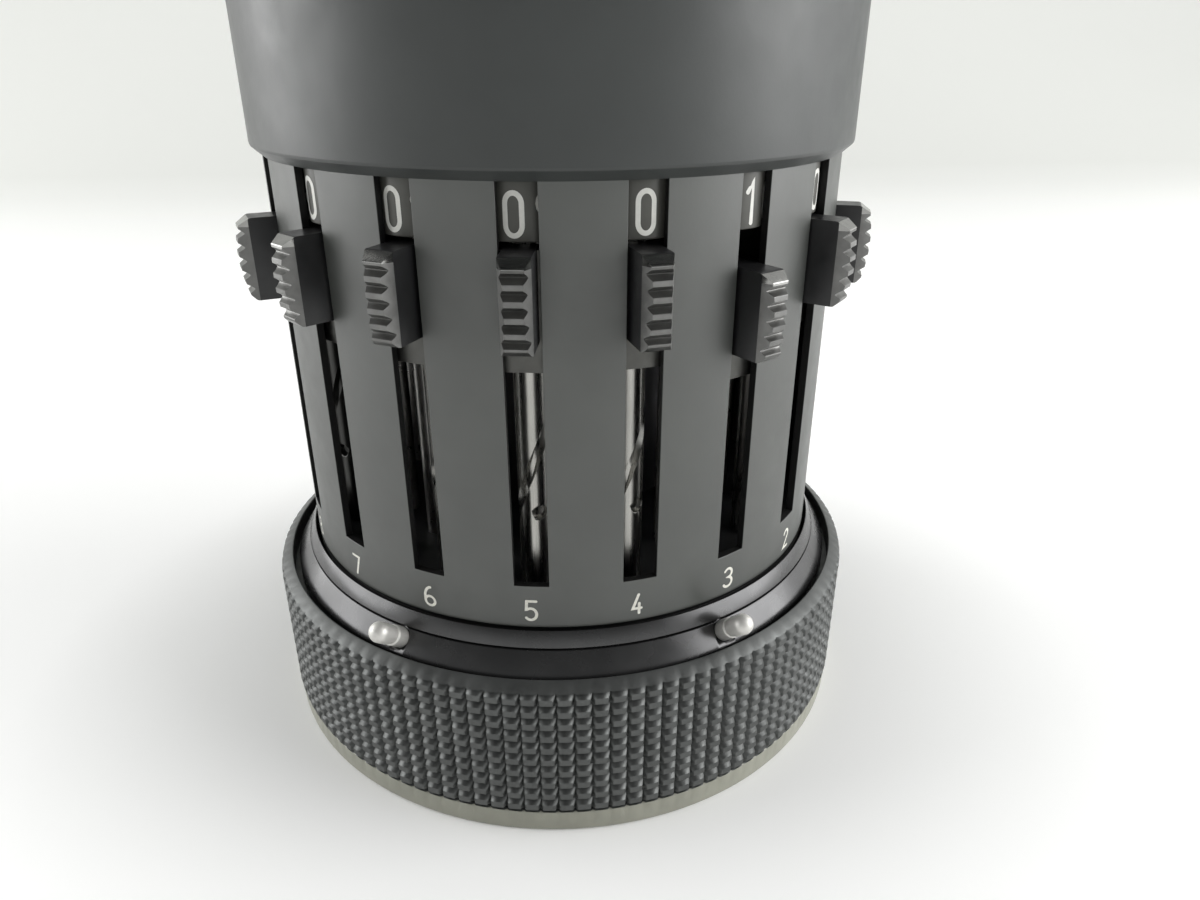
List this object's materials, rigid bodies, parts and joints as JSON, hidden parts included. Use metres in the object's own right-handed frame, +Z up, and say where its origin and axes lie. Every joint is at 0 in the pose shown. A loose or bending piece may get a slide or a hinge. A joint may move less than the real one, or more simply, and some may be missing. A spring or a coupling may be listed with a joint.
{
  "type": "pocket mechanical calculator",
  "caption": "Hand-cranked cylindrical calculator: toothed setting slides in a slotted sleeve on a knurled base, with a lifting number carriage, clearing lever and crank.",
  "frame": {"origin": "centre of the base's lower face, on the main axis", "axes": "+Z up along the main axis, -Y towards the setting slides in front, +X to their right"},
  "size_m": [0.0563, 0.0605, 0.1162],
  "materials": {
    "black_lacquer": "satin black lacquer with a square-grid knurl",
    "satin_grey": "satin dark grey lacquer",
    "gloss_black": "glossy black lacquer",
    "bright_steel": "polished",
    "turned_steel": "turned",
    "shaft_steel": "turned, with a dark lacquered digit drum",
    "knob_black": "satin black on metal",
    "plate_aluminium": "machined",
    "drum_metal": "machined",
    "carriage_black": "satin black lacquer",
    "dial_black": "black with white figures",
    "dial_white": "white with black figures",
    "crank_black": "glossy black lacquer",
    "lever_metal": "satin black",
    "spring_steel": "drawn wire"
  },
  "bodies": {
    "housing": {"base_cup": "black_lacquer", "base_plate": "black_lacquer", "base_screws": "turned_steel", "bevel_ring": "gloss_black", "setting_sleeve": "satin_grey", "collar": "satin_grey", "lower_bearing_plate": "plate_aluminium", "upper_bearing_plate": "plate_aluminium", "top_bearing_plate": "plate_aluminium", "guide_tube": "turned_steel", "frame_posts": "turned_steel", "transmission_shafts": "turned_steel", "tens_carry_levers": "turned_steel"},
    "decimal_ring": {"marker_ring": "gloss_black", "marker_pins": "bright_steel"},
    "slide_1": {"slider_1": "knob_black"},
    "shaft_1": {"setting_shaft_1": "shaft_steel"},
    "slide_2": {"slider_2": "knob_black"},
    "shaft_2": {"setting_shaft_2": "shaft_steel"},
    "slide_3": {"slider_3": "knob_black"},
    "shaft_3": {"setting_shaft_3": "shaft_steel"},
    "slide_4": {"slider_4": "knob_black"},
    "shaft_4": {"setting_shaft_4": "shaft_steel"},
    "slide_5": {"slider_5": "knob_black"},
    "shaft_5": {"setting_shaft_5": "shaft_steel"},
    "slide_6": {"slider_6": "knob_black"},
    "shaft_6": {"setting_shaft_6": "shaft_steel"},
    "slide_7": {"slider_7": "knob_black"},
    "shaft_7": {"setting_shaft_7": "shaft_steel"},
    "slide_8": {"slider_8": "knob_black"},
    "shaft_8": {"setting_shaft_8": "shaft_steel"},
    "ratchet": {"ratchet_wheel": "drum_metal"},
    "drive": {"main_shaft": "turned_steel", "stepped_drum": "drum_metal", "tens_bell": "drum_metal", "crank_arm": "crank_black"},
    "handle": {"crank_knob": "crank_black"},
    "carriage_guide": {"carriage_spring": "spring_steel"},
    "carriage": {"carriage_shell": "carriage_black", "dial_frame": "plate_aluminium"},
    "result_dial_11_axle": {"result_dial_11": "dial_black"},
    "result_dial_10_axle": {"result_dial_10": "dial_black"},
    "result_dial_9_axle": {"result_dial_9": "dial_black"},
    "result_dial_8_axle": {"result_dial_8": "dial_black"},
    "result_dial_7_axle": {"result_dial_7": "dial_black"},
    "result_dial_6_axle": {"result_dial_6": "dial_black"},
    "result_dial_5_axle": {"result_dial_5": "dial_black"},
    "result_dial_4_axle": {"result_dial_4": "dial_black"},
    "result_dial_3_axle": {"result_dial_3": "dial_black"},
    "result_dial_2_axle": {"result_dial_2": "dial_black"},
    "result_dial_1_axle": {"result_dial_1": "dial_black"},
    "counter_dial_1_axle": {"counter_dial_1": "dial_white"},
    "counter_dial_2_axle": {"counter_dial_2": "dial_white"},
    "counter_dial_3_axle": {"counter_dial_3": "dial_white"},
    "counter_dial_4_axle": {"counter_dial_4": "dial_white"},
    "counter_dial_5_axle": {"counter_dial_5": "dial_white"},
    "counter_dial_6_axle": {"counter_dial_6": "dial_white"},
    "clearer": {"clearing_lever": "lever_metal"},
    "finger_loop": {"finger_ring": "lever_metal"},
    "reverser": {"reversing_lever": "knob_black"}
  },
  "joints": [
    {"name": "marker_turn", "type": "hinge", "parent": "housing", "child": "decimal_ring", "pos_m": [0, 0, 0.0139], "axis": [0, 0, 1], "continuous": true},
    {"name": "set_1", "type": "slide", "parent": "housing", "child": "slide_1", "axis": [0, 0, -1], "range_m": [0, 0.01755]},
    {"name": "shaft_turn_1", "type": "hinge", "parent": "housing", "child": "shaft_1", "pos_m": [0.01795, -0.00653, 0.0314], "axis": [0, 0, 1], "range_deg": [-0.5, 324.5]},
    {"name": "set_2", "type": "slide", "parent": "housing", "child": "slide_2", "axis": [0, 0, -1], "range_m": [0, 0.01755]},
    {"name": "shaft_turn_2", "type": "hinge", "parent": "housing", "child": "shaft_2", "pos_m": [0.01463, -0.01228, 0.0314], "axis": [0, 0, 1], "range_deg": [-0.5, 324.5]},
    {"name": "set_3", "type": "slide", "parent": "housing", "child": "slide_3", "axis": [0, 0, -1], "range_m": [-0.00195, 0.0156]},
    {"name": "shaft_turn_3", "type": "hinge", "parent": "housing", "child": "shaft_3", "pos_m": [0.00955, -0.01654, 0.0314], "axis": [0, 0, 1], "range_deg": [-36.5, 288.5]},
    {"name": "set_4", "type": "slide", "parent": "housing", "child": "slide_4", "axis": [0, 0, -1], "range_m": [0, 0.01755]},
    {"name": "shaft_turn_4", "type": "hinge", "parent": "housing", "child": "shaft_4", "pos_m": [0.00332, -0.01881, 0.0314], "axis": [0, 0, 1], "range_deg": [-0.5, 324.5]},
    {"name": "set_5", "type": "slide", "parent": "housing", "child": "slide_5", "axis": [0, 0, -1], "range_m": [0, 0.01755]},
    {"name": "shaft_turn_5", "type": "hinge", "parent": "housing", "child": "shaft_5", "pos_m": [-0.00332, -0.01881, 0.0314], "axis": [0, 0, 1], "range_deg": [-0.5, 324.5]},
    {"name": "set_6", "type": "slide", "parent": "housing", "child": "slide_6", "axis": [0, 0, -1], "range_m": [0, 0.01755]},
    {"name": "shaft_turn_6", "type": "hinge", "parent": "housing", "child": "shaft_6", "pos_m": [-0.00955, -0.01654, 0.0314], "axis": [0, 0, 1], "range_deg": [-0.5, 324.5]},
    {"name": "set_7", "type": "slide", "parent": "housing", "child": "slide_7", "axis": [0, 0, -1], "range_m": [0, 0.01755]},
    {"name": "shaft_turn_7", "type": "hinge", "parent": "housing", "child": "shaft_7", "pos_m": [-0.01463, -0.01228, 0.0314], "axis": [0, 0, 1], "range_deg": [-0.5, 324.5]},
    {"name": "set_8", "type": "slide", "parent": "housing", "child": "slide_8", "axis": [0, 0, -1], "range_m": [0, 0.01755]},
    {"name": "shaft_turn_8", "type": "hinge", "parent": "housing", "child": "shaft_8", "pos_m": [-0.01795, -0.00653, 0.0314], "axis": [0, 0, 1], "range_deg": [-0.5, 324.5]},
    {"name": "crank_turn", "type": "hinge", "parent": "housing", "child": "ratchet", "pos_m": [0, 0, 0.005], "axis": [0, 0, 1], "continuous": true},
    {"name": "crank_lift", "type": "slide", "parent": "ratchet", "child": "drive", "axis": [0, 0, 1], "range_m": [0, 0.00293]},
    {"name": "handle_turn", "type": "hinge", "parent": "drive", "child": "handle", "pos_m": [0.01816, -0.00487, 0.1009], "axis": [0, 0, 1], "continuous": true},
    {"name": "carriage_turn", "type": "hinge", "parent": "housing", "child": "carriage_guide", "pos_m": [0, 0, 0.0709], "axis": [0, 0, 1], "range_deg": [0, 100]},
    {"name": "carriage_lift", "type": "slide", "parent": "carriage_guide", "child": "carriage", "axis": [0, 0, 1], "range_m": [0, 0.0035], "stiffness_N_per_m": 400, "springref_m": -0.003, "deforming": ["carriage_spring"]},
    {"name": "result_dial_11_turn", "type": "hinge", "parent": "carriage", "child": "result_dial_11_axle", "pos_m": [-0.01405, 0.01179, 0.07356], "axis": [-0.6275, 0.5265, -0.5736], "continuous": true},
    {"name": "result_dial_10_turn", "type": "hinge", "parent": "carriage", "child": "result_dial_10_axle", "pos_m": [-0.01724, 0.00627, 0.07356], "axis": [-0.7698, 0.2802, -0.5736], "continuous": true},
    {"name": "result_dial_9_turn", "type": "hinge", "parent": "carriage", "child": "result_dial_9_axle", "pos_m": [-0.01834, 0, 0.07356], "axis": [-0.8192, 0, -0.5736], "continuous": true},
    {"name": "result_dial_8_turn", "type": "hinge", "parent": "carriage", "child": "result_dial_8_axle", "pos_m": [-0.01724, -0.00627, 0.07356], "axis": [-0.7698, -0.2802, -0.5736], "continuous": true},
    {"name": "result_dial_7_turn", "type": "hinge", "parent": "carriage", "child": "result_dial_7_axle", "pos_m": [-0.01405, -0.01179, 0.07356], "axis": [-0.6275, -0.5265, -0.5736], "continuous": true},
    {"name": "result_dial_6_turn", "type": "hinge", "parent": "carriage", "child": "result_dial_6_axle", "pos_m": [-0.00917, -0.01588, 0.07356], "axis": [-0.4096, -0.7094, -0.5736], "continuous": true},
    {"name": "result_dial_5_turn", "type": "hinge", "parent": "carriage", "child": "result_dial_5_axle", "pos_m": [-0.00319, -0.01806, 0.07356], "axis": [-0.1422, -0.8067, -0.5736], "continuous": true},
    {"name": "result_dial_4_turn", "type": "hinge", "parent": "carriage", "child": "result_dial_4_axle", "pos_m": [0.00319, -0.01806, 0.07356], "axis": [0.1422, -0.8067, -0.5736], "continuous": true},
    {"name": "result_dial_3_turn", "type": "hinge", "parent": "carriage", "child": "result_dial_3_axle", "pos_m": [0.00917, -0.01588, 0.07356], "axis": [0.4096, -0.7094, -0.5736], "continuous": true},
    {"name": "result_dial_2_turn", "type": "hinge", "parent": "carriage", "child": "result_dial_2_axle", "pos_m": [0.01405, -0.01179, 0.07356], "axis": [0.6275, -0.5265, -0.5736], "continuous": true},
    {"name": "result_dial_1_turn", "type": "hinge", "parent": "carriage", "child": "result_dial_1_axle", "pos_m": [0.01724, -0.00627, 0.07356], "axis": [0.7698, -0.2802, -0.5736], "continuous": true},
    {"name": "counter_dial_1_turn", "type": "hinge", "parent": "carriage", "child": "counter_dial_1_axle", "pos_m": [0.01834, 0, 0.07356], "axis": [0.8192, 0, -0.5736], "continuous": true},
    {"name": "counter_dial_2_turn", "type": "hinge", "parent": "carriage", "child": "counter_dial_2_axle", "pos_m": [0.01724, 0.00627, 0.07356], "axis": [0.7698, 0.2802, -0.5736], "continuous": true},
    {"name": "counter_dial_3_turn", "type": "hinge", "parent": "carriage", "child": "counter_dial_3_axle", "pos_m": [0.01405, 0.01179, 0.07356], "axis": [0.6275, 0.5265, -0.5736], "continuous": true},
    {"name": "counter_dial_4_turn", "type": "hinge", "parent": "carriage", "child": "counter_dial_4_axle", "pos_m": [0.00917, 0.01588, 0.07356], "axis": [0.4096, 0.7094, -0.5736], "continuous": true},
    {"name": "counter_dial_5_turn", "type": "hinge", "parent": "carriage", "child": "counter_dial_5_axle", "pos_m": [0.00319, 0.01806, 0.07356], "axis": [0.1422, 0.8067, -0.5736], "continuous": true},
    {"name": "counter_dial_6_turn", "type": "hinge", "parent": "carriage", "child": "counter_dial_6_axle", "pos_m": [-0.00319, 0.01806, 0.07356], "axis": [-0.1422, 0.8067, -0.5736], "continuous": true},
    {"name": "clearing_turn", "type": "hinge", "parent": "carriage", "child": "clearer", "pos_m": [0, 0, 0.08095], "axis": [0, 0, 1], "continuous": true},
    {"name": "finger_ring_fold", "type": "hinge", "parent": "clearer", "child": "finger_loop", "pos_m": [-0.01556, 0.01854, 0.08095], "axis": [0.766, 0.6428, 0], "range_deg": [0, 80]},
    {"name": "reverse", "type": "slide", "parent": "housing", "child": "reverser", "axis": [0, 0, 1], "range_m": [0, 0.0032]}
  ],
  "couplings": [
    {"joint": "shaft_turn_1", "follows": "set_1", "rad_per_m": 322.21},
    {"joint": "shaft_turn_2", "follows": "set_2", "rad_per_m": 322.21},
    {"joint": "shaft_turn_3", "follows": "set_3", "rad_per_m": 322.21},
    {"joint": "shaft_turn_4", "follows": "set_4", "rad_per_m": 322.21},
    {"joint": "shaft_turn_5", "follows": "set_5", "rad_per_m": 322.21},
    {"joint": "shaft_turn_6", "follows": "set_6", "rad_per_m": 322.21},
    {"joint": "shaft_turn_7", "follows": "set_7", "rad_per_m": 322.21},
    {"joint": "shaft_turn_8", "follows": "set_8", "rad_per_m": 322.21}
  ]
}
